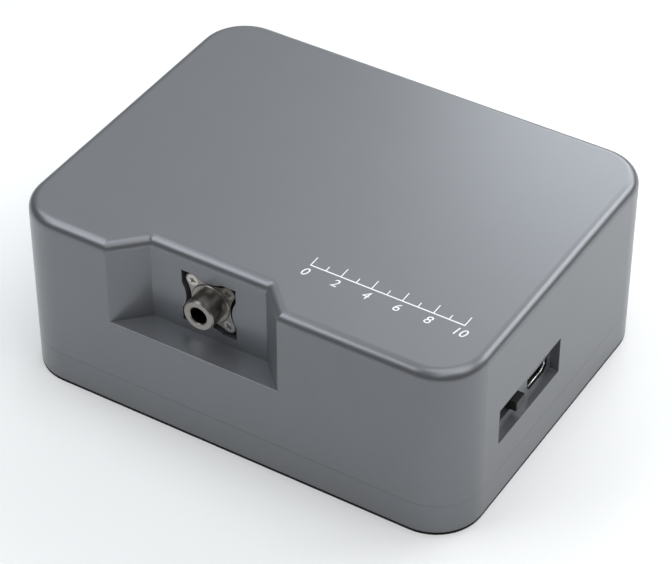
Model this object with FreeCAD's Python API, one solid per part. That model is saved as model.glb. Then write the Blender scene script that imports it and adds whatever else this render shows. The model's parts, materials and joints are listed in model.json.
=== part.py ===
"""Near-infrared fibre spectrometer, about 100 by 78 by 40 mm, in millimetres.

The frame: +Z up, origin at the centre of the underside, on the surface that the
rubber feet stand on. The fibre input faces -Y and the power and data ports face +X.

A milled housing and a bottom cover hold a stack that is set out down from the roof:
the optical bench, which carries the fibre connector, two mirrors, the grating and the
detector, then the main board on the cover's pillars. The only moving piece is the
power switch's slider.
"""

import FreeCAD, Part
import math
import os

from FreeCAD import Vector

# Housing
body_length = 100.0
body_width = 78.0
body_height = 39.5
corner_radius = 10.0
top_round = 2.2
wall = 2.5
seam_bevel = 0.05

# Bottom cover
cover_height = 6.6
cover_floor = 2.5
lip_height = 2.0
lip_thickness = 1.2
lip_end_gap = 4.0
boss_radius = 4.0
boss_bite = 0.5
pillar_radius = 3.5
pillar_bore_depth = 8.0

# Rubber feet
foot_stand = 0.7
foot_radius = 4.0
foot_pocket = 0.8
foot_bevel = 0.35
foot_inset = 17.0

# Threaded fasteners, drawn with plain shanks
m3_radius = 1.5
m3_head_radius = 2.8
m3_head_height = 1.8
m2_radius = 1.0
m2_head_radius = 1.9
m2_head_height = 1.0
flange_screw_radius = 0.7
flange_screw_head_radius = 1.25
thread_gap = 0.05
cover_screw_grip = 6.0
cover_screw_spare = 2.0
lid_screw_grip = 4.0
flange_screw_grip = 2.5
flange_screw_turns = (20, 65, 40, 80)
stud_length = 5.0

# Cross recesses and head bevels, as shares of the head's size
driver_reach = 0.55
driver_arm = 0.25
flat_driver_depth = 0.8
round_driver_depth = 0.7
head_bevel = 0.4

# Fibre recess in the front face
input_x = -8.0
recess_back_width = 26.0
recess_depth = 6.2
recess_splay = 45.0
recess_floor_drop = 8.3
recess_corner_round = 0.4
recess_edge_round = 0.2

# Fibre connector
barrel_radius = 3.4
barrel_length = 4.4
barrel_bevel = 0.3
ferrule_radius = 1.6
ferrule_bevel = 0.45
collar_radius = 4.3
collar_length = 0.3
collar_bevel = 0.15
flange_thickness = 2.2
flange_pitch = 8.0
lobe_radius = 1.5
scallop_floor = 4.4
spigot_radius = 3.9
spigot_length = 1.6
window_gap = 0.6
window_bulge_gap = 0.8
seal_width = 2.0
seal_thickness = 0.3
seal_edge_gap = 0.3

# Slit, filter and their ring, stacked behind the connector
slit_disc_radius = 4.6
slit_disc_thickness = 0.4
slit_width = 0.1
slit_height = 1.5
filter_thickness = 1.0
ring_thickness = 1.0
ring_hole_radius = 3.0
ring_notch = 1.0
fit_gap = 0.1

# Optical bench
bench_side_room = 10.5
bench_rear_room = 4.5
bench_height = 16.0
bench_floor = 2.0
bench_wall = 3.0
bench_front_wall = 4.0
bench_post = 5.0
bench_round = 1.5
post_round = 0.8
lid_thickness = 0.8
lid_head_room = 0.4

# Optics, placed from the bench's inner walls
optic_width = 12.0
optic_thickness = 3.5
optic_foot_room = 1.5
optic_head_room = 1.5
mount_thickness = 4.5
mount_foot_thickness = 2.0
collimator_room = 9.5
focuser_side_room = 17.0
focuser_room = 11.0
grating_side_room = 19.0
grating_room = 12.0
grating_table_radius = 7.5
grating_pitch = 0.00333
middle_wavelength = 0.0013
baffle_offset = 9.0
baffle_length = 17.0
baffle_thickness = 0.8
baffle_foot = 4.0

# Detector, placed from the bench's front face
detector_room = 22.0
detector_length = 26.0
detector_thickness = 3.6
detector_round = 1.0
detector_head_room = 1.5
detector_floor = 1.0
window_length = 18.0
window_height = 6.0
window_thickness = 0.7
window_ledge = 1.0
window_sink = 0.2
array_length = 12.8
array_height = 1.2
array_thickness = 0.5
pin_count = 7
pin_pitch = 2.54
pin_row_inset = 1.5
pin_width = 0.46
pin_stub = 0.5

# Detector board, off the bench's side on two spacers
spacer_length = 5.6
spacer_radius = 2.0
detector_board_length = 37.0
detector_screw_spread = 16.0
detector_screw_lift = 4.0
detector_screw_grip = 2.3
pad_length = 12.0
pad_pin_gap = 0.77

# Main board
board_thickness = 1.6
board_round = 2.0
board_gap = 0.3
board_left_margin = 1.0
standoff_height = 4.9
standoff_flats = 5.5
standoff_bore_depth = 3.4
pillar_inset_x = 8.0
pillar_inset_front = 13.5
pillar_inset_back = 12.0

# Port recess in the right-hand face
port_recess_inset = 27.55
port_recess_length = 24.1
port_recess_depth = 1.9
port_recess_below = 1.2
port_recess_above = 7.3
port_recess_round = 0.4
port_wall = 2.0

# Data socket
socket_offset = 6.55
socket_width = 7.5
socket_height = 2.5
socket_depth = 5.6
socket_bevel_width = 1.05
socket_bevel_height = 1.0
socket_sheet = 0.25
socket_setback = 0.5
socket_flare = 0.12
socket_opening_gap = 0.3
tongue_width = 3.9
tongue_thickness = 0.6
tongue_drop = 0.95
tongue_setback = 0.9
tongue_base = 1.2
contact_count = 5
contact_pitch = 0.65
contact_width = 0.3
contact_thickness = 0.1
contact_setback = 0.3

# Power switch
switch_offset = -4.75
switch_length = 9.2
switch_depth = 4.4
switch_height = 4.0
switch_sheet = 0.4
switch_back = 1.2
switch_travel = 4.0
knob_length = 3.2
knob_height = 2.2
knob_proud = 1.5
knob_gap = 0.2
knob_bevel = 0.15
slider_length = 4.0
terminal_pitch = 2.5
terminal_width = 0.8
terminal_thickness = 0.5
terminal_height = 1.2

# Ribbon cable between the two boards
ribbon_width = 7.0
ribbon_thickness = 0.3
ribbon_bend = 3.0
ribbon_offset = 14.0
latch_depth = 3.0
latch_height = 1.8
latch_side = 0.8
latch_edge_gap = 0.5

# Components on the main board, as places from the board's origin and sizes
processor_place = (8.0, -4.0)
processor_width = 12.0
processor_height = 1.3
processor_bevel = 0.3
lead_count = 16
lead_pitch = 0.65
lead_length = 1.0
lead_width = 0.3
lead_thickness = 0.2
chip_sizes = [
    (-12.0, 6.0, 9.0, 7.0, 1.2),
    (-12.0, -8.0, 7.0, 7.0, 1.0),
    (8.0, 13.0, 10.0, 6.0, 1.2),
    (-2.0, 13.0, 3.5, 5.0, 1.7),
    (-12.0, 17.0, 5.0, 4.0, 1.2),
]
capacitor_length = 2.0
capacitor_width = 1.25
capacitor_height = 1.0
capacitor_pitch = 3.0
capacitor_rows = [(-4.5, -12.0), (19.5, -12.0), (17.0, 10.0)]
capacitor_counts = (6, 6, 3)
crystal_place = (8.0, 6.0)
crystal_length = 5.0
crystal_width = 3.2
crystal_height = 1.2
crystal_round = 0.6
inductor_edge_gap = 5.3
inductor_width = 5.0
inductor_height = 3.0
inductor_round = 1.0
inductor_first_y = 3.0
inductor_pitch = 7.0
inductor_count = 3

# How far a cutting tool runs past the surface that it cuts, and the smallest length
spare = 1.0
tiny = 1e-6

# Planes and places worked out from the sizes above
half_x = body_length / 2
half_y = body_width / 2
base_z = foot_stand
top_z = base_z + body_height
seam_z = base_z + cover_height
roof_z = top_z - wall
cover_floor_z = base_z + cover_floor
cover_root_z = base_z + cover_floor / 2
inner_x = half_x - wall
inner_y = half_y - wall

bench_top_z = roof_z - lid_head_room - lid_thickness
bench_z = bench_top_z - bench_height
bench_floor_z = bench_z + bench_floor
board_top_z = bench_z - standoff_height
board_z = board_top_z - board_thickness

input_z = (bench_floor_z + bench_top_z) / 2
recess_floor_z = input_z - recess_floor_drop
recess_back_y = -half_y + recess_depth
bench_front_y = recess_back_y + wall + seal_thickness
bench_back_y = inner_y - bench_rear_room
bench_half_x = inner_x - bench_side_room
bench_inner_x = bench_half_x - bench_wall
bench_inner_front_y = bench_front_y + bench_front_wall
bench_inner_back_y = bench_back_y - bench_wall

flange_front_y = bench_front_y - flange_thickness
barrel_end_y = flange_front_y - barrel_length
flange_half = flange_pitch / 2 + lobe_radius
slit_y = bench_front_y + spigot_length
filter_y = slit_y + slit_disc_thickness
ring_y = filter_y + filter_thickness

optic_low_z = bench_floor_z + optic_foot_room
optic_height = bench_top_z - optic_head_room - optic_low_z
slit_place = (input_x, slit_y)
collimator_place = (input_x, bench_inner_back_y - collimator_room)
focuser_place = (bench_inner_x - focuser_side_room, bench_inner_back_y - focuser_room)
grating_place = (bench_inner_x - grating_side_room, bench_inner_front_y + grating_room)

detector_face_x = -bench_half_x
detector_y = bench_front_y + detector_room
detector_place = (detector_face_x, detector_y)
detector_board_x = detector_face_x - spacer_length
detector_back_x = detector_board_x - board_thickness
detector_half_height = bench_height / 2 - detector_head_room
pin_row_reach = detector_half_height - pin_row_inset

boss_reach = corner_radius - wall - boss_radius + boss_bite
boss_x = half_x - corner_radius + boss_reach / math.sqrt(2)
boss_y = half_y - corner_radius + boss_reach / math.sqrt(2)
boss_places = [(sx * boss_x, sy * boss_y) for sx in (-1, 1) for sy in (-1, 1)]
pillar_rows = (bench_front_y + pillar_inset_front, bench_back_y - pillar_inset_back)
pillar_x = bench_half_x - pillar_inset_x
pillar_places = [(side * pillar_x, y) for side in (-1, 1) for y in pillar_rows]
foot_x = half_x - foot_inset
foot_y = half_y - foot_inset
foot_places = [(sx * foot_x, sy * foot_y) for sx in (-1, 1) for sy in (-1, 1)]

port_recess_y = -half_y + port_recess_inset
port_floor_x = half_x - port_recess_depth
port_inner_x = port_floor_x - port_wall
port_low_z = board_top_z - port_recess_below
port_high_z = board_top_z + port_recess_above
socket_y = port_recess_y + socket_offset
socket_mouth_x = port_floor_x - socket_setback
socket_back_x = socket_mouth_x - socket_depth
tongue_z = board_top_z + socket_height - tongue_drop
switch_y = port_recess_y + switch_offset
switch_front_x = port_inner_x - board_gap
switch_back_x = switch_front_x - switch_depth
knob_y = switch_y + switch_travel / 2
knob_z = board_top_z + switch_height / 2
board_right_x = port_inner_x - board_gap
board_left_x = -bench_half_x - board_left_margin
board_half_y = boss_y - boss_radius - board_gap
ribbon_y = detector_y + ribbon_offset
latch_x = board_left_x + latch_edge_gap


def box(x0, x1, y0, y1, z0, z1):
    """A block between two corners."""
    return Part.makeBox(x1 - x0, y1 - y0, z1 - z0, Vector(x0, y0, z0))


def centred_box(x0, x1, y, width, z, height):
    """A block between two planes along X, centred on a line along X."""
    return box(x0, x1, y - width / 2, y + width / 2, z - height / 2, z + height / 2)


def upright(x, y, z0, z1, radius):
    """A cylinder standing along Z."""
    return Part.makeCylinder(radius, z1 - z0, Vector(x, y, z0))


def along_y(x, z, y0, y1, radius):
    """A cylinder lying along Y."""
    return Part.makeCylinder(radius, y1 - y0, Vector(x, y0, z), Vector(0, 1, 0))


def along_x(y, z, x0, x1, radius):
    """A cylinder lying along X."""
    return Part.makeCylinder(radius, x1 - x0, Vector(x0, y, z), Vector(1, 0, 0))


def prism(points, low, high):
    """A prism standing on a plan outline, between two heights."""
    wire = Part.makePolygon([Vector(x, y, low) for x, y in points + points[:1]])
    return Part.Face(wire).extrude(Vector(0, 0, high - low))


def join(first, *others):
    """One solid from touching or overlapping pieces."""
    return first.fuse(list(others)).removeSplitter()


def straight_edges(shape, direction):
    """The straight edges of a shape that lie along one axis."""
    found = []
    for edge in shape.Edges:
        if edge.Curve.TypeId == "Part::GeomLine" and edge.Length > tiny:
            run = edge.Vertexes[-1].Point - edge.Vertexes[0].Point
            if run.cross(direction).Length < tiny:
                found.append(edge)
    return found


def level_edges(shape, z):
    """The edges of a shape that lie wholly at one height."""
    found = []
    for edge in shape.Edges:
        if abs(edge.BoundBox.ZMin - z) < tiny and abs(edge.BoundBox.ZMax - z) < tiny:
            found.append(edge)
    return found


def rounded_block(x0, x1, y0, y1, z0, z1, radius):
    """A block with round upright edges."""
    block = box(x0, x1, y0, y1, z0, z1)
    return block.makeFillet(radius, straight_edges(block, Vector(0, 0, 1)))


def rounded_plug(x0, x1, y, width, z, height, radius):
    """A block with round edges along X, centred on a line along X."""
    block = centred_box(x0, x1, y, width, z, height)
    return block.makeFillet(radius, straight_edges(block, Vector(1, 0, 0)))


def cross_recess(head_radius, depth):
    """A cutter for a cross-shaped driver recess, centred on the origin and going down."""
    reach = head_radius * driver_reach
    arm = reach * driver_arm
    lengthwise = box(-reach, reach, -arm, arm, -depth, depth)
    across = box(-arm, arm, -reach, reach, -depth, depth)
    return join(lengthwise, across)


def flat_screw(radius, head_radius, length):
    """A countersunk screw with its head's face at the origin and its shank going down."""
    cone = head_radius - radius
    head = Part.makeCone(radius, head_radius, cone, Vector(0, 0, -cone))
    shank = upright(0, 0, -length, -cone, radius)
    return join(head, shank).cut(cross_recess(head_radius, cone * flat_driver_depth))


def round_screw(radius, head_radius, head_height, length):
    """A low bevel-headed screw, seated at the origin with its shank going down."""
    head = upright(0, 0, 0, head_height, head_radius)
    head = head.makeChamfer(head_height * head_bevel, level_edges(head, head_height))
    shank = upright(0, 0, -length, 0, radius)
    recess = cross_recess(head_radius, head_height * round_driver_depth)
    recess.translate(Vector(0, 0, head_height))
    return join(head, shank).cut(recess)


def countersink(radius, head_radius, length):
    """The cutter that a flat screw's hole needs, set like the screw itself."""
    cone = head_radius - radius
    sink = Part.makeCone(radius, head_radius, cone, Vector(0, 0, -cone))
    return join(sink, upright(0, 0, -length, -cone, radius))


def placed(shape, place, axis=Vector(0, 0, 1), turn=0.0):
    """A copy of a shape with its Z axis along the given axis and its origin at a place."""
    spin = FreeCAD.Placement(Vector(0, 0, 0), FreeCAD.Rotation(Vector(0, 0, 1), turn))
    aim = FreeCAD.Placement(Vector(*place), FreeCAD.Rotation(Vector(0, 0, 1), axis))
    out = shape.copy()
    out.Placement = aim.multiply(spin)
    return out


def recess_outline(grow):
    """The plan of the fibre recess, grown into the housing by a wall's thickness."""
    splay = math.radians(recess_splay)
    back_half = recess_back_width / 2 + grow * (1 - math.sin(splay)) / math.cos(splay)
    back_y = recess_back_y + grow
    front_y = -half_y - recess_depth
    front_half = back_half + (back_y - front_y) * math.tan(splay)
    return [
        (input_x - front_half, front_y),
        (input_x - back_half, back_y),
        (input_x + back_half, back_y),
        (input_x + front_half, front_y),
    ]


def recess_cutter():
    """The fibre recess, open at the front and the top, with small radii in its back corners."""
    cutter = prism(recess_outline(0), recess_floor_z, top_z + spare)
    back = [
        edge
        for edge in straight_edges(cutter, Vector(0, 0, 1))
        if abs(edge.BoundBox.YMax - recess_back_y) < tiny
    ]
    return cutter.makeFillet(recess_corner_round, back)


def recess_front_edges(shell):
    """The edges where the fibre recess breaks through the front face."""
    found = []
    for edge in shell.Edges:
        span = edge.BoundBox
        on_front = abs(span.YMin + half_y) < tiny and abs(span.YMax + half_y) < tiny
        beside = span.XMin > -half_x + corner_radius + tiny and span.XMax < half_x - corner_radius - tiny
        if on_front and beside and span.ZMin > recess_floor_z - tiny and span.ZMax < top_z - tiny:
            if span.XLength < tiny or span.ZMax < recess_floor_z + tiny:
                found.append(edge)
    return found


def port_recess():
    """The shallow pocket round the two ports."""
    height = port_high_z - port_low_z
    middle = (port_high_z + port_low_z) / 2
    return rounded_plug(
        port_floor_x, half_x + spare, port_recess_y, port_recess_length, middle, height, port_recess_round
    )


def socket_outline(grow):
    """The socket's front view, as (y, z) points: wide above, with bevelled lower corners."""
    half = socket_width / 2 + grow
    low = board_top_z - grow
    high = board_top_z + socket_height + grow
    return [
        (socket_y - half, high),
        (socket_y - half, low + socket_bevel_height),
        (socket_y - half + socket_bevel_width, low),
        (socket_y + half - socket_bevel_width, low),
        (socket_y + half, low + socket_bevel_height),
        (socket_y + half, high),
    ]


def socket_prism(grow, x0, x1):
    """A solid of the socket's outline, between two planes along X."""
    points = [Vector(x0, y, z) for y, z in socket_outline(grow)]
    face = Part.Face(Part.makePolygon(points + points[:1]))
    return face.extrude(Vector(x1 - x0, 0, 0))


def switch_window():
    """The slot that the switch's knob slides in."""
    length = knob_length + switch_travel + 2 * knob_gap
    height = knob_height + 2 * knob_gap
    return rounded_plug(
        port_inner_x - spare, half_x, switch_y, length, knob_z, height, port_recess_round
    )


def scallop_circle():
    """The radius of the flange's scallops, tangent to its lobes, and how far out their centres lie."""
    pitch = flange_pitch / 2
    rise = scallop_floor - pitch
    radius = (pitch**2 + rise**2 - lobe_radius**2) / (2 * (lobe_radius - rise))
    return radius, scallop_floor + radius


def connector_window():
    """The hole that the connector's flange sits in: square, with a bulge of wall at each scallop."""
    half = flange_half + window_gap
    y0, y1 = recess_back_y - spare, recess_back_y + wall + spare
    window = box(input_x - half, input_x + half, y0, y1, input_z - half, input_z + half)
    scallop_radius, reach = scallop_circle()
    for x, z in ((reach, 0), (0, reach), (-reach, 0), (0, -reach)):
        bulge = along_y(input_x + x, input_z + z, y0, y1, scallop_radius - window_bulge_gap)
        window = window.cut(bulge)
    return window


def make_housing():
    """The upper shell: walls and a roof, with the fibre recess and the port recess."""
    shell = rounded_block(-half_x, half_x, -half_y, half_y, seam_z, top_z, corner_radius)
    shell = shell.cut(recess_cutter())
    shell = shell.makeFillet(top_round, level_edges(shell, top_z))
    shell = shell.makeFillet(recess_edge_round, recess_front_edges(shell))
    shell = shell.makeChamfer(seam_bevel, level_edges(shell, seam_z))

    inner_corner = corner_radius - wall
    room = rounded_block(-inner_x, inner_x, -inner_y, inner_y, seam_z - spare, roof_z, inner_corner)
    room = room.cut(prism(recess_outline(wall), recess_floor_z - wall, top_z))
    pad_half = port_recess_length / 2 + wall
    y0, y1 = port_recess_y - pad_half, port_recess_y + pad_half
    room = room.cut(box(port_inner_x, half_x, y0, y1, port_low_z - wall, port_high_z + wall))
    for x, y in boss_places:
        room = room.cut(upright(x, y, seam_z, roof_z, boss_radius))
    shell = shell.cut(room)

    shell = shell.cut(port_recess())
    reach = cover_screw_grip + cover_screw_spare
    for x, y in boss_places:
        shell = shell.cut(upright(x, y, seam_z - spare, seam_z + reach, m3_radius + thread_gap))
    shell = shell.cut(connector_window())
    shell = shell.cut(socket_prism(socket_opening_gap, port_inner_x - spare, half_x))
    return shell.cut(switch_window())


def cover_lips():
    """Four low ribs inside the cover's wall that locate the housing."""
    lip_x = inner_x - fit_gap
    lip_y = inner_y - fit_gap
    run_x = boss_x - boss_radius - lip_end_gap
    run_y = boss_y - boss_radius - lip_end_gap
    high = seam_z + lip_height
    return [
        box(-run_x, run_x, lip_y - lip_thickness, lip_y, cover_root_z, high),
        box(-run_x, run_x, -lip_y, -lip_y + lip_thickness, cover_root_z, high),
        box(lip_x - lip_thickness, lip_x, -run_y, run_y, cover_root_z, high),
        box(-lip_x, -lip_x + lip_thickness, -run_y, run_y, cover_root_z, high),
    ]


def make_cover():
    """The bottom tray: a floor, a low wall, locating lips, screw bosses and board pillars."""
    tray = rounded_block(-half_x, half_x, -half_y, half_y, base_z, seam_z, corner_radius)
    inner_corner = corner_radius - wall
    high = seam_z + spare
    room = rounded_block(-inner_x, inner_x, -inner_y, inner_y, cover_floor_z, high, inner_corner)
    for x, y in boss_places:
        room = room.cut(upright(x, y, cover_floor_z, high, boss_radius))
    tray = tray.cut(room)
    pillars = [upright(x, y, cover_root_z, board_z, pillar_radius) for x, y in pillar_places]
    tray = join(tray, *pillars, *cover_lips())

    sink = countersink(m3_radius + fit_gap, m3_head_radius + fit_gap, cover_height + spare)
    for x, y in boss_places:
        tray = tray.cut(placed(sink, (x, y, base_z), Vector(0, 0, -1)))
    for x, y in pillar_places:
        bore_z = board_z - pillar_bore_depth
        tray = tray.cut(upright(x, y, bore_z, board_z + spare, m3_radius + thread_gap))
    for x, y in foot_places:
        tray = tray.cut(upright(x, y, base_z - spare, base_z + foot_pocket, foot_radius + fit_gap))
    return tray


def make_cover_screws():
    """Four countersunk screws through the cover's corners into the housing's bosses."""
    screw = flat_screw(m3_radius, m3_head_radius, cover_height + cover_screw_grip)
    return [placed(screw, (x, y, base_z), Vector(0, 0, -1)) for x, y in boss_places]


def make_feet():
    """Four round rubber feet in pockets under the cover."""
    feet = []
    for x, y in foot_places:
        foot = upright(x, y, 0, base_z + foot_pocket, foot_radius)
        feet.append(foot.makeChamfer(foot_bevel, level_edges(foot, 0)))
    return feet


def flange_outline():
    """The connector flange's front view: four round lobes joined by tangent scallops."""
    pitch = flange_pitch / 2
    scallop_radius, reach = scallop_circle()
    share = scallop_radius / (scallop_radius + lobe_radius)
    near = pitch * share
    far = reach + (pitch - reach) * share
    corner = pitch + lobe_radius / math.sqrt(2)
    arcs = []
    for quarter in range(4):
        turn = FreeCAD.Rotation(Vector(0, 1, 0), 90 * quarter)
        scallop_points = [Vector(-near, 0, far), Vector(0, 0, scallop_floor), Vector(near, 0, far)]
        lobe_points = [Vector(near, 0, far), Vector(corner, 0, corner), Vector(far, 0, near)]
        for points in (scallop_points, lobe_points):
            arcs.append(Part.Arc(*[turn.multVec(point) for point in points]).toShape())
    return Part.Wire(Part.__sortEdges__(arcs))


def flange_screw_places():
    """The four screw places of the flange, as (x, z)."""
    pitch = flange_pitch / 2
    return [(input_x + sx * pitch, input_z + sz * pitch) for sx in (-1, 1) for sz in (-1, 1)]


def make_connector():
    """The fibre connector: a lobed flange, a collar and barrel in front, and a spigot behind."""
    flange = Part.Face(flange_outline()).extrude(Vector(0, flange_thickness, 0))
    flange.translate(Vector(input_x, flange_front_y, input_z))

    collar_y = flange_front_y - collar_length
    spigot_end_y = bench_front_y + spigot_length
    profile = [
        Vector(0, barrel_end_y, 0),
        Vector(barrel_radius - barrel_bevel, barrel_end_y, 0),
        Vector(barrel_radius, barrel_end_y + barrel_bevel, 0),
        Vector(barrel_radius, collar_y, 0),
        Vector(collar_radius - collar_bevel, collar_y, 0),
        Vector(collar_radius, collar_y + collar_bevel, 0),
        Vector(collar_radius, flange_front_y, 0),
        Vector(spigot_radius, bench_front_y, 0),
        Vector(spigot_radius, spigot_end_y, 0),
        Vector(0, spigot_end_y, 0),
    ]
    turned_part = Part.Face(Part.makePolygon(profile + profile[:1]))
    turned_part = turned_part.revolve(Vector(0, 0, 0), Vector(0, 1, 0), 360)
    turned_part.translate(Vector(input_x, 0, input_z))

    body = join(flange, turned_part)
    body = body.cut(along_y(input_x, input_z, barrel_end_y - spare, spigot_end_y + spare, ferrule_radius))
    mouth_place = Vector(input_x, barrel_end_y, input_z)
    mouth_radius = ferrule_radius + ferrule_bevel
    mouth = Part.makeCone(mouth_radius, ferrule_radius, ferrule_bevel, mouth_place, Vector(0, 1, 0))
    body = body.cut(mouth)
    sink = countersink(
        flange_screw_radius + thread_gap, flange_screw_head_radius + thread_gap, flange_thickness + spare
    )
    for x, z in flange_screw_places():
        body = body.cut(placed(sink, (x, flange_front_y, z), Vector(0, -1, 0)))
    return body


def make_connector_screws():
    """Four small countersunk screws that hold the flange to the bench."""
    length = flange_thickness + flange_screw_grip
    screw = flat_screw(flange_screw_radius, flange_screw_head_radius, length)
    screws = []
    for (x, z), turn in zip(flange_screw_places(), flange_screw_turns):
        screws.append(placed(screw, (x, flange_front_y, z), Vector(0, -1, 0), turn))
    return screws


def make_seal():
    """The foam frame between the recess's back wall and the bench."""
    outer = flange_half + window_gap + seal_width
    back_y = recess_back_y + wall
    z0, z1 = bench_z + seal_edge_gap, bench_top_z - seal_edge_gap
    frame = box(input_x - outer, input_x + outer, back_y, bench_front_y, z0, z1)
    return frame.cut(connector_window())


def make_slit():
    """The thin disc with the entrance slit."""
    disc = along_y(input_x, input_z, slit_y, filter_y, slit_disc_radius)
    x0, x1 = input_x - slit_width / 2, input_x + slit_width / 2
    z0, z1 = input_z - slit_height / 2, input_z + slit_height / 2
    return disc.cut(box(x0, x1, slit_y - spare, filter_y + spare, z0, z1))


def make_filter():
    """The long-pass filter behind the slit."""
    return along_y(input_x, input_z, filter_y, ring_y, slit_disc_radius)


def make_slit_ring():
    """The ring that holds the slit and the filter, with a spanner notch across it."""
    back_y = ring_y + ring_thickness
    ring = along_y(input_x, input_z, ring_y, back_y, slit_disc_radius)
    ring = ring.cut(along_y(input_x, input_z, ring_y - spare, back_y + spare, ring_hole_radius))
    x0, x1 = input_x - slit_disc_radius - spare, input_x + slit_disc_radius + spare
    y0 = ring_y + ring_thickness / 2
    z0, z1 = input_z - ring_notch / 2, input_z + ring_notch / 2
    return ring.cut(box(x0, x1, y0, back_y + spare, z0, z1))


def lid_screw_places():
    """The centres of the bench's corner posts."""
    half = bench_post / 2
    rows = (bench_inner_front_y + half, bench_inner_back_y - half)
    return [(side * (bench_inner_x - half), y) for side in (-1, 1) for y in rows]


def bench_pocket():
    """The bench's hollow: a rounded tray with a square post left in each corner."""
    low, high = bench_floor_z, bench_top_z + spare
    pocket = rounded_block(
        -bench_inner_x, bench_inner_x, bench_inner_front_y, bench_inner_back_y, low, high, bench_round
    )
    reach = bench_post / 2 + post_round
    middle_y = (bench_inner_front_y + bench_inner_back_y) / 2
    for x, y in lid_screw_places():
        post_x = x + math.copysign(post_round, x)
        post_y = y + math.copysign(post_round, y - middle_y)
        post = rounded_block(
            post_x - reach, post_x + reach, post_y - reach, post_y + reach, low, high, post_round
        )
        pocket = pocket.cut(post)
    return pocket


def bench_holes():
    """Every hole through the bench's floor and walls."""
    cuts = []
    lid_low = bench_top_z - lid_screw_grip - spare
    for x, y in lid_screw_places():
        cuts.append(upright(x, y, lid_low, bench_top_z + spare, m2_radius + thread_gap))
    for x, y in pillar_places:
        cuts.append(upright(x, y, bench_z - spare, bench_floor_z + spare, m3_radius + fit_gap))
    for seat in optic_seats():
        x, y = mount_screw_place(seat)
        cuts.append(upright(x, y, bench_z - spare, bench_floor_z + spare, m2_radius + thread_gap))
    for x, z in flange_screw_places():
        deep = bench_front_y + flange_screw_grip + fit_gap
        cuts.append(along_y(x, z, bench_front_y - spare, deep, flange_screw_radius + thread_gap))
    for y, z in detector_screw_places():
        deep = detector_face_x + detector_screw_grip + fit_gap
        cuts.append(along_x(y, z, detector_face_x - spare, deep, m2_radius + thread_gap))
    cuts.append(along_y(input_x, input_z, bench_front_y - spare, slit_y, spigot_radius + fit_gap))
    seat_radius = slit_disc_radius + fit_gap
    cuts.append(along_y(input_x, input_z, slit_y, bench_inner_front_y + spare, seat_radius))
    x0, x1 = detector_face_x - spare, -bench_inner_x + spare
    cuts.append(centred_box(x0, x1, detector_y, window_length, input_z, window_height))
    return cuts


def make_bench():
    """The milled optical bench: a deep tray with corner posts, open at the top."""
    block = rounded_block(
        -bench_half_x, bench_half_x, bench_front_y, bench_back_y, bench_z, bench_top_z, bench_round
    )
    return block.cut(bench_pocket()).cut(bench_holes())


def make_bench_screws():
    """Four screws through the bench's floor into the standoffs."""
    length = bench_floor + standoff_bore_depth - fit_gap
    screw = round_screw(m3_radius, m3_head_radius, m3_head_height, length)
    return [placed(screw, (x, y, bench_floor_z)) for x, y in pillar_places]


def lid_countersink():
    """The cutter for a lid screw's head, no deeper than the lid."""
    head_radius = m2_radius + lid_thickness
    return countersink(m2_radius + fit_gap, head_radius, lid_thickness + spare)


def make_lid():
    """The bench's sheet lid, with a clear hole for each of its screws."""
    high = bench_top_z + lid_thickness
    lid = rounded_block(
        -bench_half_x, bench_half_x, bench_front_y, bench_back_y, bench_top_z, high, bench_round
    )
    sink = lid_countersink()
    for x, y in lid_screw_places():
        lid = lid.cut(placed(sink, (x, y, high)))
    return lid


def make_lid_screws():
    """Four flat screws, flush with the lid."""
    head_radius = m2_radius + lid_thickness - fit_gap
    screw = flat_screw(m2_radius, head_radius, lid_thickness + lid_screw_grip)
    return [placed(screw, (x, y, bench_top_z + lid_thickness)) for x, y in lid_screw_places()]


def direction(start, end):
    """The unit vector in plan from one place to another."""
    return Vector(end[0] - start[0], end[1] - start[1], 0).normalize()


def facing(place, first, second):
    """The angle, seen from above, of the line that halves the directions to two places."""
    middle = direction(place, first) + direction(place, second)
    return math.degrees(math.atan2(middle.y, middle.x))


def grating_turn():
    """How far the grating turns from the halving line to send its middle wavelength on."""
    spread = direction(grating_place, collimator_place).getAngle(direction(grating_place, focuser_place))
    sine = middle_wavelength / (2 * grating_pitch * math.cos(spread / 2))
    return math.degrees(math.asin(sine))


def optic_seats():
    """The collimator's, grating's and focuser's face centres, each with the angle it faces."""
    return [
        (*collimator_place, facing(collimator_place, slit_place, grating_place)),
        (*grating_place, facing(grating_place, collimator_place, focuser_place) + grating_turn()),
        (*focuser_place, facing(focuser_place, grating_place, detector_place)),
    ]


def seated(shape, seat):
    """A shape that was made facing +X at the origin, moved to an optic's seat."""
    x, y, angle = seat
    shape.rotate(Vector(0, 0, 0), Vector(0, 0, 1), angle)
    shape.translate(Vector(x, y, 0))
    return shape


def mount_screw_place(seat):
    """The place of the screw that goes down through an optic's mount, behind its face."""
    x, y, angle = seat
    back = optic_thickness + mount_thickness / 2
    turn = math.radians(angle)
    return x - back * math.cos(turn), y - back * math.sin(turn)


def make_mirror(seat, focal_length):
    """A square mirror with a face hollowed by the sphere of its focal length."""
    z = optic_low_z + optic_height / 2
    blank = centred_box(-optic_thickness, 0, 0, optic_width, z, optic_height)
    radius = 2 * focal_length
    sag = radius - math.sqrt(radius**2 - (optic_width / 2) ** 2)
    ball = Part.makeSphere(radius, Vector(radius - sag, 0, z))
    return seated(blank.cut(ball), seat)


def mount_screw_cutter():
    """The screw's hole down through a mount, wide above the mount's foot for its head."""
    x = -optic_thickness - mount_thickness / 2
    foot_z = bench_floor_z + mount_foot_thickness
    hole = upright(x, 0, bench_floor_z - spare, foot_z, m2_radius + fit_gap)
    return join(hole, upright(x, 0, foot_z, bench_top_z, m2_head_radius + fit_gap))


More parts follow.
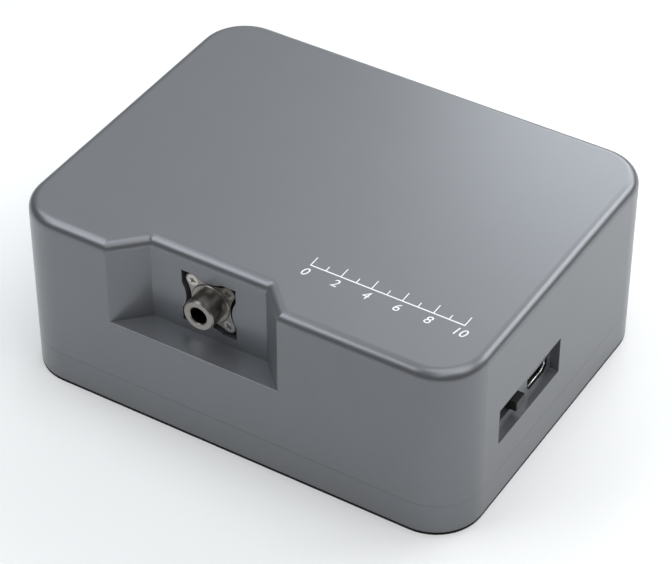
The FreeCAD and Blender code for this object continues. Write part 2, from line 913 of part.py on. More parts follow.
def make_mirror_mount(seat):
    """A bracket behind a mirror, with a ledge under it and one screw down into the bench."""
    high = optic_low_z + optic_height
    half = optic_width / 2
    back = -optic_thickness - mount_thickness
    post = box(back, -optic_thickness, -half, half, bench_floor_z, high)
    ledge = box(-optic_thickness, 0, -half, half, bench_floor_z, optic_low_z)
    return seated(join(post, ledge).cut(mount_screw_cutter()), seat)


def make_grating(seat):
    """The ruled grating's glass block."""
    z = optic_low_z + optic_height / 2
    return seated(centred_box(-optic_thickness, 0, 0, optic_width, z, optic_height), seat)


def make_grating_mount(seat):
    """A round turntable with an upright back for the grating."""
    high = optic_low_z + optic_height
    half = optic_width / 2
    back = -optic_thickness - mount_thickness
    table = upright(-optic_thickness, 0, bench_floor_z, optic_low_z, grating_table_radius)
    post = box(back, -optic_thickness, -half, half, bench_floor_z, high)
    edge = upright(-optic_thickness, 0, bench_floor_z, high, grating_table_radius)
    mount = join(table, post.common(edge))
    return seated(mount.cut(mount_screw_cutter()), seat)


def make_mount_screws():
    """The screws that hold the two mirror mounts and the grating's mount."""
    screw = round_screw(m2_radius, m2_head_radius, m2_head_height, mount_foot_thickness + bench_floor)
    z = bench_floor_z + mount_foot_thickness
    return [placed(screw, (*mount_screw_place(seat), z)) for seat in optic_seats()]


def make_baffle():
    """The bent sheet that keeps stray light from the slit off the detector."""
    x0 = input_x - baffle_offset
    x1 = x0 + baffle_thickness
    y0, y1 = bench_inner_front_y, bench_inner_front_y + baffle_length
    sheet = box(x0, x1, y0, y1, bench_floor_z, bench_top_z - fit_gap)
    foot = box(x0, x0 + baffle_foot, y0, y1, bench_floor_z, bench_floor_z + baffle_thickness)
    return join(sheet, foot)


def detector_screw_places():
    """The detector board's two screws, one low and one higher, as (y, z)."""
    middle = (bench_z + bench_top_z) / 2
    return [
        (detector_y - detector_screw_spread, middle),
        (detector_y + detector_screw_spread, middle + detector_screw_lift),
    ]


def make_detector():
    """The detector's case, with a stepped well for the window and the sensor."""
    x0 = detector_face_x - detector_thickness
    height = 2 * detector_half_height
    case = rounded_plug(
        x0, detector_face_x, detector_y, detector_length, input_z, height, detector_round
    )
    seat_x = detector_face_x - window_sink - window_thickness
    seat_length = window_length + 2 * fit_gap
    seat_height = window_height + 2 * fit_gap
    seat_cut = centred_box(seat_x, detector_face_x + spare, detector_y, seat_length, input_z, seat_height)
    well_length = window_length - 2 * window_ledge
    well_height = window_height - 2 * window_ledge
    well_cut = centred_box(x0 + detector_floor, seat_x, detector_y, well_length, input_z, well_height)
    return case.cut(join(seat_cut, well_cut))


def make_detector_window():
    """The window glued into the detector's case."""
    x1 = detector_face_x - window_sink
    return centred_box(x1 - window_thickness, x1, detector_y, window_length, input_z, window_height)


def make_array():
    """The sensor array on the floor of the detector's well."""
    x0 = detector_face_x - detector_thickness + detector_floor
    return centred_box(x0, x0 + array_thickness, detector_y, array_length, input_z, array_height)


def detector_pin_places():
    """The detector's pins in two rows, as (y, z)."""
    first = detector_y - pin_pitch * (pin_count - 1) / 2
    rows = (input_z - pin_row_reach, input_z + pin_row_reach)
    return [(first + i * pin_pitch, z) for z in rows for i in range(pin_count)]


def make_detector_pins():
    """Two rows of pins from the detector through its board."""
    x0 = detector_back_x - pin_stub
    x1 = detector_face_x - detector_thickness
    return [centred_box(x0, x1, y, pin_width, z, pin_width) for y, z in detector_pin_places()]


def make_detector_board():
    """The upright board behind the detector."""
    z = (bench_z + bench_top_z) / 2
    board = centred_box(
        detector_back_x, detector_board_x, detector_y, detector_board_length, z, bench_height
    )
    x0, x1 = detector_back_x - spare, detector_board_x + spare
    for y, z in detector_screw_places():
        board = board.cut(along_x(y, z, x0, x1, m2_radius + fit_gap))
    pin_hole = pin_width + fit_gap
    return board.cut([centred_box(x0, x1, y, pin_hole, z, pin_hole) for y, z in detector_pin_places()])


def make_detector_spacers():
    """Two tubes that hold the detector board off the bench."""
    tubes = []
    for y, z in detector_screw_places():
        tube = along_x(y, z, detector_board_x, detector_face_x, spacer_radius)
        bore = along_x(y, z, detector_board_x - spare, detector_face_x + spare, m2_radius + fit_gap)
        tubes.append(tube.cut(bore))
    return tubes


def make_detector_screws():
    """Two screws through the detector board and its spacers into the bench."""
    length = board_thickness + spacer_length + detector_screw_grip
    screw = round_screw(m2_radius, m2_head_radius, m2_head_height, length)
    return [placed(screw, (detector_back_x, y, z), Vector(-1, 0, 0)) for y, z in detector_screw_places()]


def make_thermal_pad():
    """The soft pad between the pin rows, from the detector board to the housing's side."""
    height = 2 * (pin_row_reach - pin_width / 2 - pad_pin_gap)
    return centred_box(-inner_x, detector_back_x, detector_y, pad_length, input_z, height)


def make_board():
    """The main board, with a hole over each of the cover's pillars."""
    board = rounded_block(
        board_left_x, board_right_x, -board_half_y, board_half_y, board_z, board_top_z, board_round
    )
    for x, y in pillar_places:
        board = board.cut(upright(x, y, board_z - spare, board_top_z + spare, m3_radius + fit_gap))
    return board


def make_standoffs():
    """Hexagonal standoffs above the board, each with a stud down into a pillar."""
    corner = standoff_flats / math.sqrt(3)
    turns = [i * math.pi / 3 for i in range(6)]
    out = []
    for x, y in pillar_places:
        points = [(x + corner * math.cos(turn), y + corner * math.sin(turn)) for turn in turns]
        body = prism(points, board_top_z, bench_z)
        stud = upright(x, y, board_z - stud_length, board_top_z, m3_radius)
        bore = upright(x, y, bench_z - standoff_bore_depth, bench_z + spare, m3_radius + thread_gap)
        out.append(join(body, stud).cut(bore))
    return out


def make_socket():
    """The data socket's folded metal shell, with a flared mouth."""
    shell = socket_prism(0, socket_back_x, socket_mouth_x)
    flare = socket_prism(socket_flare, socket_mouth_x - socket_sheet, socket_mouth_x)
    hollow = socket_prism(-socket_sheet, socket_back_x + socket_sheet, socket_mouth_x + spare)
    return join(shell, flare).cut(hollow)


def make_tongue():
    """The socket's plastic back block and contact tongue."""
    x0 = socket_back_x + socket_sheet
    block = socket_prism(-socket_sheet, x0, x0 + tongue_base)
    x1 = socket_mouth_x - tongue_setback
    tongue = centred_box(x0, x1, socket_y, tongue_width, tongue_z, tongue_thickness)
    return join(block, tongue)


def make_contacts():
    """The contact strips under the tongue."""
    x0 = socket_back_x + socket_sheet + tongue_base
    x1 = socket_mouth_x - tongue_setback - contact_setback
    z = tongue_z - tongue_thickness / 2 - contact_thickness / 2
    first = socket_y - contact_pitch * (contact_count - 1) / 2
    strips = []
    for i in range(contact_count):
        strips.append(centred_box(x0, x1, first + i * contact_pitch, contact_width, z, contact_thickness))
    return strips


def make_switch_case():
    """The switch's case: a folded sheet box on the board, open in front for the slider."""
    case = centred_box(
        switch_back_x, switch_front_x, switch_y, switch_length, knob_z, switch_height
    )
    x0 = switch_back_x + switch_back
    hollow_length = slider_length + switch_travel + 2 * fit_gap
    hollow_height = switch_height - 2 * switch_sheet
    hollow = centred_box(x0, switch_front_x - switch_sheet, switch_y, hollow_length, knob_z, hollow_height)
    slot_length = knob_length + switch_travel + 2 * fit_gap
    slot_height = knob_height + 2 * fit_gap
    slot = centred_box(x0, switch_front_x + spare, switch_y, slot_length, knob_z, slot_height)
    return case.cut(join(hollow, slot))


def make_knob():
    """The slider: a block inside the case and the knob that stands in the port recess."""
    x0 = switch_back_x + switch_back + fit_gap
    end_x = port_floor_x + knob_proud
    knob = centred_box(x0, end_x, knob_y, knob_length, knob_z, knob_height)
    outer = [edge for edge in knob.Edges if edge.BoundBox.XMin > end_x - tiny]
    knob = knob.makeChamfer(knob_bevel, outer)
    block_height = switch_height - 2 * (switch_sheet + fit_gap)
    x1 = switch_front_x - switch_sheet - fit_gap
    block = centred_box(x0, x1, knob_y, slider_length, knob_z, block_height)
    return join(block, knob)


def make_switch_terminals():
    """Three solder terminals behind the switch."""
    z = board_top_z + terminal_height / 2
    x0 = switch_back_x - terminal_thickness
    places = [switch_y + i * terminal_pitch for i in (-1, 0, 1)]
    return [centred_box(x0, switch_back_x, y, terminal_width, z, terminal_height) for y in places]


def make_ribbon():
    """The flat cable: down from the detector board, round one bend, along to the main board."""
    x = detector_back_x - latch_height / 2
    z = board_top_z + latch_height / 2
    high_z = bench_z + latch_edge_gap
    half = ribbon_thickness / 2
    centre = Vector(x + ribbon_bend, 0, z + ribbon_bend)
    middle = Vector(-math.sqrt(0.5), 0, -math.sqrt(0.5))
    edges = [
        Part.makeLine(Vector(x - half, 0, high_z), Vector(x + half, 0, high_z)),
        Part.makeLine(Vector(latch_x, 0, z - half), Vector(latch_x, 0, z + half)),
    ]
    for offset in (half, -half):
        upper = Vector(x - offset, 0, centre.z)
        lower = Vector(centre.x, 0, z - offset)
        edges.append(Part.makeLine(Vector(x - offset, 0, high_z), upper))
        edges.append(Part.Arc(upper, centre + middle * (ribbon_bend + offset), lower).toShape())
        edges.append(Part.makeLine(lower, Vector(latch_x, 0, z - offset)))
    outline = Part.Wire(Part.__sortEdges__(edges))
    strip = Part.Face(outline).extrude(Vector(0, ribbon_width, 0))
    strip.translate(Vector(0, ribbon_y - ribbon_width / 2, 0))
    return strip


def make_latches():
    """The two cable latches, one on each board."""
    width = ribbon_width + 2 * latch_side
    low_z = board_top_z + latch_height / 2
    low = centred_box(latch_x, latch_x + latch_depth, ribbon_y, width, low_z, latch_height)
    high_z = bench_z + latch_edge_gap + latch_depth / 2
    high = centred_box(detector_back_x - latch_height, detector_back_x, ribbon_y, width, high_z, latch_depth)
    return [low, high]


def board_block(x, y, length, width, height, lift=0.0):
    """A component's body on the main board, round a place."""
    z = board_top_z + lift + height / 2
    return centred_box(x - length / 2, x + length / 2, y, width, z, height)


def make_processor():
    """The processor's square package, with a bevelled top."""
    lift = lead_thickness / 2
    body = board_block(*processor_place, processor_width, processor_width, processor_height, lift)
    return body.makeChamfer(processor_bevel, level_edges(body, body.BoundBox.ZMax))


def make_processor_leads():
    """A row of flat leads on each side of the processor."""
    x, y = processor_place
    reach = (processor_width + lead_length) / 2
    leads = []
    for i in range(lead_count):
        along = (i - (lead_count - 1) / 2) * lead_pitch
        for side in (-1, 1):
            leads.append(board_block(x + side * reach, y + along, lead_length, lead_width, lead_thickness))
            leads.append(board_block(x + along, y + side * reach, lead_width, lead_length, lead_thickness))
    return leads


def make_chips():
    """Memory, converter, regulator and amplifier packages."""
    return [board_block(*size) for size in chip_sizes]


def make_capacitors():
    """Rows of small ceramic capacitors."""
    out = []
    for (x, first_y), count in zip(capacitor_rows, capacitor_counts):
        for i in range(count):
            y = first_y + i * capacitor_pitch
            out.append(board_block(x, y, capacitor_length, capacitor_width, capacitor_height))
    return out


def make_crystal():
    """The processor's crystal can."""
    can = board_block(*crystal_place, crystal_length, crystal_width, crystal_height)
    return can.makeFillet(crystal_round, straight_edges(can, Vector(0, 0, 1)))


def make_inductors():
    """Power inductors along the board's right-hand edge."""
    x = board_right_x - inductor_edge_gap - inductor_width / 2
    out = []
    for i in range(inductor_count):
        y = inductor_first_y + i * inductor_pitch
        body = board_block(x, y, inductor_width, inductor_width, inductor_height)
        out.append(body.makeFillet(inductor_round, straight_edges(body, Vector(0, 0, 1))))
    return out


def make_parts():
    """Every sub-part by name, each one solid or a list of like solids."""
    collimator, grating, focuser = optic_seats()
    collimator_focal = math.dist(slit_place, collimator_place)
    focuser_focal = math.dist(focuser_place, detector_place)
    return {
        "top_housing": make_housing(),
        "bottom_cover": make_cover(),
        "cover_screws": make_cover_screws(),
        "rubber_feet": make_feet(),
        "fibre_connector": make_connector(),
        "connector_screws": make_connector_screws(),
        "window_seal": make_seal(),
        "entrance_slit": make_slit(),
        "order_filter": make_filter(),
        "slit_ring": make_slit_ring(),
        "optical_bench": make_bench(),
        "bench_screws": make_bench_screws(),
        "bench_lid": make_lid(),
        "lid_screws": make_lid_screws(),
        "collimating_mirror": make_mirror(collimator, collimator_focal),
        "collimator_mount": make_mirror_mount(collimator),
        "focusing_mirror": make_mirror(focuser, focuser_focal),
        "focuser_mount": make_mirror_mount(focuser),
        "grating": make_grating(grating),
        "grating_mount": make_grating_mount(grating),
        "mount_screws": make_mount_screws(),
        "light_baffle": make_baffle(),
        "detector_case": make_detector(),
        "detector_window": make_detector_window(),
        "detector_array": make_array(),
        "detector_pins": make_detector_pins(),
        "detector_board": make_detector_board(),
        "detector_spacers": make_detector_spacers(),
        "detector_screws": make_detector_screws(),
        "thermal_pad": make_thermal_pad(),
        "main_board": make_board(),
        "board_standoffs": make_standoffs(),
        "data_socket_shell": make_socket(),
        "data_socket_tongue": make_tongue(),
        "data_socket_contacts": make_contacts(),
        "switch_case": make_switch_case(),
        "switch_knob": make_knob(),
        "switch_terminals": make_switch_terminals(),
        "ribbon_cable": make_ribbon(),
        "ribbon_latches": make_latches(),
        "processor": make_processor(),
        "processor_leads": make_processor_leads(),
        "board_chips": make_chips(),
        "capacitors": make_capacitors(),
        "crystal": make_crystal(),
        "inductors": make_inductors(),
    }


def save(name, shape):
    """Writes one sub-part, after a check that each of its pieces is a closed solid."""
    shapes = shape if isinstance(shape, list) else [shape]
    solids = [solid for one in shapes for solid in one.Solids]
    if len(solids) != len(shapes) or any(not s.isValid() or s.Volume <= 0 for s in solids):
        raise SystemExit(f"{name} is not a set of sound solids")
    out = solids[0] if len(solids) == 1 else Part.makeCompound(solids)
    out.exportStep(f"parts/{name}.step")
    print(f"{name:24s} {len(solids):3d} solids {sum(s.Volume for s in solids):10.2f} mm3")


def main():
    os.makedirs("parts", exist_ok=True)
    for name, shape in make_parts().items():
        save(name, shape)


main()
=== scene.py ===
"""The looks of the near-infrared spectrometer: finishes, fine marks, floor, light and camera."""
import json
import math

import bmesh
import bpy
from mathutils import Matrix, Vector


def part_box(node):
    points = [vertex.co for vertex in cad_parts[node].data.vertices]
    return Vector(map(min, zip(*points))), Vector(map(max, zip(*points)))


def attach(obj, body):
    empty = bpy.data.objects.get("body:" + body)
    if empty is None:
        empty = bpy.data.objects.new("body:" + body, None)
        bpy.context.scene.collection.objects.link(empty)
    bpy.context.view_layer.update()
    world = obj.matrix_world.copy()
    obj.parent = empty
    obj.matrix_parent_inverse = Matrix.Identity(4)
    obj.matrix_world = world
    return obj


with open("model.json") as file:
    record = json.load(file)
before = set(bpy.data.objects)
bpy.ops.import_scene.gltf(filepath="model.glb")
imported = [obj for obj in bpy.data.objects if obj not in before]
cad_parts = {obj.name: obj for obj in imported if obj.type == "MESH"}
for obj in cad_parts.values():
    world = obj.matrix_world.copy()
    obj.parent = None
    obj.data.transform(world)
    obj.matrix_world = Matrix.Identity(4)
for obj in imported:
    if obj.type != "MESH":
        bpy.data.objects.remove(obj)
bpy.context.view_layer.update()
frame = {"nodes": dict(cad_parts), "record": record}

# Lengths below are in metres unless a name says otherwise
mm = 0.001

# The view, as fitted to the photograph
photo_width = 672
focal_px = 2648.35
view_azimuth = math.radians(31.428)
view_elevation = math.radians(39.825)
view_roll = math.radians(-0.078)
eye = Vector((0.21197, -0.34668, 0.35425))
sensor_width_mm = 36.0

# The studio
floor_size = 6.0
floor_color = (0.90, 0.90, 0.90)
floor_lift = 0.10
plain_white = (1.0, 1.0, 1.0)
cool_white = (0.95, 0.98, 1.0)
sky_fill = 0.06
glow_strength = 0.85
glow_sharpness = 8.0
glow_direction = (-0.295, 0.731, 0.616)

# The fibre input's axis, from the connector's own box
connector_low, connector_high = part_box("fibre_connector")
input_x = (connector_low.x + connector_high.x) / 2
input_z = (connector_low.z + connector_high.z) / 2

# The bore's painted shade, a near-black skin just inside it: radius and depth from the mouth, ring by ring
bore_shade_sides = 48
bore_shade_profile = [
    (1.84 * mm, 0.18 * mm),
    (1.575 * mm, 0.46 * mm),
    (1.575 * mm, 7.0 * mm),
    (1.55 * mm, 7.2 * mm),
]

# The data socket's painted shade, a black surround in the gap round the shell and a dark inside, as steps
# (outwards, forwards) from its shell's mouth
socket_bevel_width = 1.05 * mm
socket_bevel_height = 1.0 * mm
socket_sheet = 0.25 * mm
rim_radius = 0.13 * mm
gap_shade_steps = [
    (0.17 * mm, -1.0 * mm),
    (0.17 * mm, 0.45 * mm),
    (0.02 * mm, 0.45 * mm),
    (0.02 * mm, -1.0 * mm),
]
depth_shade_steps = [
    (-0.27 * mm, -0.12 * mm),
    (-0.39 * mm, -0.5 * mm),
    (-0.39 * mm, -3.0 * mm),
]

# The thin black strip under the cover's edge: painted shadow, a black sheet that stands for the dark contact
# shade between the cover and the floor
strip_inset = 0.06 * mm
strip_width = 1.8 * mm
strip_rise = 0.04 * mm
strip_corner = 10.0 * mm
strip_steps = 12

# The plain scale printed on the roof, in the right-hand part of its front
scale_left = 9.0 * mm
scale_right = 42.0 * mm
scale_y = -23.6 * mm
rule_width = 0.28 * mm
tick_width = 0.20 * mm
tick_length = 1.4 * mm
long_tick_length = 2.6 * mm
scale_steps = 10
number_every = 2
number_size = 3.0 * mm
number_drop = 3.1 * mm
number_slant = 0.2
ink_thickness = 0.02 * mm


# Building node materials
class Finish:
    """A node material round one Principled shader, with helpers for detail at a real scale."""

    def __init__(self, name, color, metallic=0.0, roughness=0.5, specular=0.5):
        self.material = bpy.data.materials.new(f"{name}_finish")
        self.material.use_nodes = True
        self.nodes = self.material.node_tree.nodes
        self.links = self.material.node_tree.links
        self.shader = self.nodes["Principled BSDF"]
        self.shader.inputs["Base Color"].default_value = (*color, 1.0)
        self.shader.inputs["Metallic"].default_value = metallic
        self.shader.inputs["Roughness"].default_value = roughness
        self.shader.inputs["Specular IOR Level"].default_value = specular
        self.place = self.nodes.new("ShaderNodeTexCoord").outputs["Object"]

    def node(self, kind, **settings):
        """A node of a kind, with its own settings."""
        made = self.nodes.new(kind)
        for key, value in settings.items():
            setattr(made, key, value)
        return made

    def math(self, operation, first, second=0.0):
        """One arithmetic step on sockets or numbers."""
        made = self.node("ShaderNodeMath", operation=operation)
        for socket, value in zip(made.inputs, (first, second)):
            if isinstance(value, (int, float)):
                socket.default_value = value
            else:
                self.links.new(value, socket)
        return made.outputs[0]

    def noise(self, size, detail=2.0, stretch=(1.0, 1.0, 1.0)):
        """Noise whose grains are about one size across, stretched along the axes."""
        scaled = self.node("ShaderNodeMapping")
        scaled.inputs["Scale"].default_value = [1.0 / (size * part) for part in stretch]
        self.links.new(self.place, scaled.inputs["Vector"])
        made = self.node("ShaderNodeTexNoise")
        made.inputs["Scale"].default_value = 1.0
        made.inputs["Detail"].default_value = detail
        self.links.new(scaled.outputs[0], made.inputs["Vector"])
        return made.outputs["Fac"]

    def spread(self, source, low, high):
        """A 0 to 1 value spread between two numbers."""
        made = self.node("ShaderNodeMapRange")
        made.inputs["To Min"].default_value = low
        made.inputs["To Max"].default_value = high
        self.links.new(source, made.inputs["Value"])
        return made.outputs["Result"]

    def blend(self, share, first, second):
        """A colour between two colours, by a share."""
        made = self.node("ShaderNodeMix", data_type="RGBA")
        self.links.new(share, made.inputs["Factor"])
        # The mix node's colour sockets are inputs 6 and 7 and output 2
        made.inputs[6].default_value = (*first, 1.0)
        made.inputs[7].default_value = (*second, 1.0)
        return made.outputs[2]

    def color(self, source):
        """Feeds the base colour."""
        self.links.new(source, self.shader.inputs["Base Color"])

    def roughness(self, source):
        """Feeds the roughness."""
        self.links.new(source, self.shader.inputs["Roughness"])

    def bump(self, height, depth):
        """A bump of a real depth."""
        made = self.node("ShaderNodeBump")
        made.inputs["Strength"].default_value = 1.0
        made.inputs["Distance"].default_value = depth
        self.links.new(height, made.inputs["Height"])
        self.links.new(made.outputs["Normal"], self.shader.inputs["Normal"])


def shade(color, factor):
    """A colour made lighter or darker."""
    return tuple(min(1.0, part * factor) for part in color)


def housing_metal():
    """Bead-blasted, anodised aluminium: fine even grain with faint cloudiness."""
    color = (0.188, 0.195, 0.209)
    finish = Finish("housing_metal", color, metallic=0.5, roughness=0.29)
    cloud = finish.noise(9 * mm, detail=3.0)
    grain = finish.noise(0.16 * mm, detail=1.0)
    speck = finish.math("MULTIPLY", finish.math("ADD", cloud, grain), 0.5)
    finish.color(finish.blend(speck, shade(color, 0.94), shade(color, 1.06)))
    # Never smoother than 0.28: below that the denoiser takes the metal for a mirror and leaves rings on it
    finish.roughness(finish.spread(cloud, 0.28, 0.31))
    finish.bump(grain, depth=0.004 * mm)
    return finish.material


def rings(finish, pitch):
    """Turning marks: rings round the fibre input's axis, and bands along it."""
    moved = finish.node("ShaderNodeMapping")
    moved.inputs["Location"].default_value = (-input_x, 0.0, -input_z)
    finish.links.new(finish.place, moved.inputs["Vector"])
    parts = finish.node("ShaderNodeSeparateXYZ")
    finish.links.new(moved.outputs[0], parts.inputs[0])
    across = finish.math("POWER", parts.outputs["X"], 2.0)
    up = finish.math("POWER", parts.outputs["Z"], 2.0)
    radius = finish.math("SQRT", finish.math("ADD", across, up))
    along = finish.math("ADD", radius, parts.outputs["Y"])
    wave = finish.math("SINE", finish.math("MULTIPLY", along, 2 * math.pi / pitch))
    # The node's third socket, what it adds, is 0.5 as it comes
    return finish.math("MULTIPLY_ADD", wave, 0.5)


def connector_nickel():
    """Turned and nickel-plated brass: warm grey, with fine turning marks."""
    color = (0.27, 0.256, 0.238)
    finish = Finish("connector_nickel", color, metallic=1.0, roughness=0.32)
    marks = rings(finish, 0.09 * mm)
    cloud = finish.noise(1.1 * mm, detail=3.0)
    finish.color(finish.blend(cloud, shade(color, 0.86), shade(color, 1.12)))
    finish.roughness(finish.spread(cloud, 0.28, 0.38))
    finish.bump(marks, depth=0.0012 * mm)
    return finish.material


def plain_metal(name, color, roughness, grain=0.25 * mm, depth=0.002 * mm):
    """A plated or drawn metal with slight unevenness."""
    finish = Finish(name, color, metallic=1.0, roughness=roughness)
    cloud = finish.noise(8 * grain, detail=3.0)
    fine = finish.noise(grain, detail=2.0)
    finish.color(finish.blend(cloud, shade(color, 0.85), shade(color, 1.12)))
    finish.roughness(finish.spread(fine, roughness * 0.8, roughness * 1.25))
    finish.bump(fine, depth)
    return finish.material


def plain_plastic(name, color, roughness, grain=0.12 * mm, depth=0.004 * mm):
    """Moulded plastic or rubber with a fine spark-eroded grain."""
    finish = Finish(name, color, roughness=roughness, specular=0.35)
    cloud = finish.noise(20 * grain, detail=3.0)
    fine = finish.noise(grain, detail=2.0)
    finish.color(finish.blend(cloud, shade(color, 0.8), shade(color, 1.25)))
    finish.roughness(finish.spread(fine, roughness * 0.85, min(1.0, roughness * 1.15)))
    finish.bump(fine, depth)
    return finish.material


def foam():
    """Black open foam with pores."""
    color = (0.018, 0.018, 0.018)
    finish = Finish("black_foam", color, roughness=0.95, specular=0.2)
    pores = finish.noise(0.25 * mm, detail=4.0)
    finish.color(finish.blend(pores, shade(color, 0.3), shade(color, 2.0)))
    finish.bump(pores, depth=0.1 * mm)
    return finish.material


def glass(name, color):
    """Polished optical glass with a faint coating tint."""
    finish = Finish(name, color, roughness=0.02)
    finish.shader.inputs["Transmission Weight"].default_value = 0.9
    film = finish.noise(6 * mm, detail=1.0)
    finish.color(finish.blend(film, shade(color, 0.9), shade(color, 1.08)))
    return finish.material


def ruled_glass():
    """A ruled, gold-coated grating: fine upright lines that break light up."""
    color = (0.85, 0.70, 0.42)
    finish = Finish("ruled_glass", color, metallic=1.0, roughness=0.18)
    lines = finish.noise(0.02 * mm, detail=1.0, stretch=(1.0, 1.0, 400.0))
    hue = finish.noise(4 * mm, detail=1.0)
    finish.color(finish.blend(hue, (0.75, 0.62, 0.50), (0.88, 0.74, 0.40)))
    finish.bump(lines, depth=0.002 * mm)
    return finish.material


def circuit_board():
    """Green solder mask over copper tracks."""
    finish = Finish("board_green", (0.02, 0.14, 0.07), roughness=0.35)
    tracks = finish.node("ShaderNodeTexBrick")
    tracks.inputs["Scale"].default_value = 1.0 / (3.0 * mm)
    tracks.inputs["Mortar Size"].default_value = 0.06
    tracks.inputs["Mortar Smooth"].default_value = 0.1
    tracks.inputs["Color1"].default_value = (0.010, 0.085, 0.040, 1.0)
    tracks.inputs["Color2"].default_value = (0.016, 0.110, 0.052, 1.0)
    tracks.inputs["Mortar"].default_value = (0.040, 0.220, 0.100, 1.0)
    finish.links.new(finish.place, tracks.inputs["Vector"])
    finish.color(tracks.outputs["Color"])
    finish.bump(tracks.outputs["Fac"], depth=0.02 * mm)
    return finish.material


def white_ink():
    """Screen-printed white ink, slightly uneven."""
    color = (0.86, 0.87, 0.88)
    finish = Finish("white_ink", color, roughness=0.45)
    film = finish.noise(0.3 * mm, detail=2.0)
    finish.color(finish.blend(film, shade(color, 0.93), shade(color, 1.05)))
    finish.bump(film, depth=0.003 * mm)
    return finish.material


slot_materials = {
    "housing_metal": housing_metal(),
    "zinc_steel": plain_metal("zinc_steel", (0.60, 0.60, 0.58), 0.32),
    "foot_rubber": plain_plastic("foot_rubber", (0.022, 0.022, 0.022), 0.8, depth=0.01 * mm),
    "connector_nickel": connector_nickel(),
    "connector_screw_steel": plain_metal("connector_screw_steel", (0.48, 0.465, 0.44), 0.3),
    "black_foam": foam(),
    "black_steel": plain_metal("black_steel", (0.03, 0.03, 0.03), 0.5),
    "filter_glass": glass("filter_glass", (0.12, 0.02, 0.02)),
    "black_aluminium": plain_metal("black_aluminium", (0.035, 0.035, 0.04), 0.55),
    "gold_mirror": plain_metal("gold_mirror", (0.90, 0.72, 0.38), 0.05, depth=0.0),
    "ruled_glass": ruled_glass(),
    "detector_metal": plain_metal("detector_metal", (0.80, 0.64, 0.34), 0.25),
    "clear_glass": glass("clear_glass", (0.88, 0.92, 0.94)),
    "sensor_dark": plain_plastic("sensor_dark", (0.03, 0.03, 0.045), 0.12, depth=0.0),
    "gold_pin": plain_metal("gold_pin", (0.85, 0.66, 0.30), 0.25),
    "board_green": circuit_board(),
    "plain_brass": plain_metal("plain_brass", (0.70, 0.54, 0.26), 0.3),
    "grey_pad": plain_plastic("grey_pad", (0.30, 0.33, 0.36), 0.85),
    "tinned_steel": plain_metal("tinned_steel", (0.68, 0.68, 0.67), 0.2),
    "black_plastic": plain_plastic("black_plastic", (0.012, 0.012, 0.012), 0.45),
    "knob_plastic": plain_plastic("knob_plastic", (0.016, 0.016, 0.017), 0.42),
    "cable_film": plain_plastic("cable_film", (0.60, 0.54, 0.40), 0.3),
    "latch_plastic": plain_plastic("latch_plastic", (0.70, 0.68, 0.60), 0.5),
    "chip_plastic": plain_plastic("chip_plastic", (0.02, 0.02, 0.022), 0.55),
    "ceramic": plain_plastic("ceramic", (0.36, 0.24, 0.13), 0.3),
    "can_metal": plain_metal("can_metal", (0.66, 0.66, 0.64), 0.25),
    "ferrite": plain_plastic("ferrite", (0.06, 0.06, 0.065), 0.6),
}


def dress_nodes():
    """Gives every carried-over node the material of its slot."""
    for part in frame["record"]["subparts"]:
        mesh = frame["nodes"][part["node"]].data
        mesh.materials.clear()
        mesh.materials.append(slot_materials[part["material_slot"]])


def add_piece(name, data, place=(0.0, 0.0, 0.0)):
    """Puts a mesh or curve into the scene, fixed to the instrument."""
    piece = bpy.data.objects.new(name, data)
    piece.location = place
    bpy.context.scene.collection.objects.link(piece)
    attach(piece, "instrument")


def swept_mesh(name, loops, material):
    """A skin that joins each closed loop of points to the next."""
    count = len(loops[0])
    faces = []
    for near in range(0, (len(loops) - 1) * count, count):
        far = near + count
        for i in range(count):
            after = (i + 1) % count
            faces.append((near + i, near + after, far + after, far + i))
    mesh = bpy.data.meshes.new(name)
    mesh.from_pydata([point for loop in loops for point in loop], [], faces)
    mesh.materials.append(material)
    return mesh


def roof_height():
    """The height of the roof."""
    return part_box("top_housing")[1].z


def add_ink_bars(name, bars, ink):
    """Thin raised bars of ink on the roof, each from (x0, y0) to (x1, y1)."""
    roof = roof_height()
    mesh = bpy.data.meshes.new(name)
    mesh.materials.append(ink)
    form = bmesh.new()
    for x0, y0, x1, y1 in bars:
        centre = Vector(((x0 + x1) / 2, (y0 + y1) / 2, roof + ink_thickness / 2))
        size = Matrix.Diagonal((x1 - x0, y1 - y0, ink_thickness, 1.0))
        bmesh.ops.create_cube(form, size=1.0, matrix=Matrix.Translation(centre) @ size)
    form.to_mesh(mesh)
    form.free()
    add_piece(name, mesh)


def add_scale():
    """A plain graduated scale with numbers, printed on the roof."""
    ink = white_ink()
    step = (scale_right - scale_left) / scale_steps
    places = [scale_left + i * step for i in range(scale_steps + 1)]
    half = tick_width / 2
    rule_low, rule_high = scale_y - rule_width / 2, scale_y + rule_width / 2
    bars = [(scale_left - half, rule_low, scale_right + half, rule_high)]
    for i, x in enumerate(places):
        length = tick_length if i % number_every else long_tick_length
        bars.append((x - half, rule_high, x + half, scale_y + length))
    add_ink_bars("scale_rule", bars, ink)
    for i in range(0, scale_steps + 1, number_every):
        curve = bpy.data.curves.new(f"scale_number_{i}", "FONT")
        curve.body = str(i)
        curve.size = number_size
        curve.align_x = "CENTER"
        curve.shear = number_slant
        curve.extrude = ink_thickness / 2
        curve.materials.append(ink)
        place = (places[i], scale_y - number_drop, roof_height() + ink_thickness / 2)
        add_piece(f"scale_number_{i}", curve, place)


